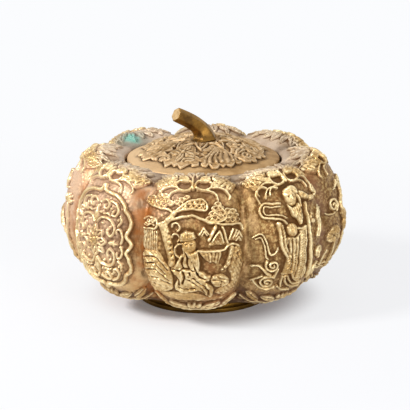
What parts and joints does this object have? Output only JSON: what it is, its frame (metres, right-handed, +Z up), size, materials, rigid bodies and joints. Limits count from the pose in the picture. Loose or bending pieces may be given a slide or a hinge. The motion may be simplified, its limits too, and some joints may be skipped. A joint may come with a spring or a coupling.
{
  "type": "lidded pumpkin box",
  "caption": "Cast brass box shaped as a ribbed pumpkin, on a turned foot, with a domed lid that lifts out by its bent stalk; holds trinkets or incense.",
  "frame": {"origin": "centre of the foot ring's resting face", "axes": "+Z up along the axis of the bowl and the lid, -Y towards the lobe that faces the viewer, +X to the viewer's right"},
  "size_m": [0.1024, 0.1028, 0.0697],
  "materials": {
    "cast_brass": "patinated red-brown in the recesses, rubbed bright on the relief",
    "lid_brass": "matt tan patina",
    "stalk_brass": "dark polished, pale matt at the cut end",
    "turned_brass": "turned, satin"
  },
  "bodies": {
    "bowl": {"bowl_shell": "cast_brass", "foot_ring": "turned_brass", "base_plate": "turned_brass", "mouth_seat": "turned_brass"},
    "lid": {"lid_shell": "lid_brass", "lid_locating_ring": "turned_brass", "stalk_handle": "stalk_brass", "stalk_washer": "turned_brass"}
  },
  "joints": [
    {"name": "lid_lift", "type": "slide", "parent": "bowl", "child": "lid", "axis": [0, 0, 1], "range_m": [0, 0.04]}
  ]
}
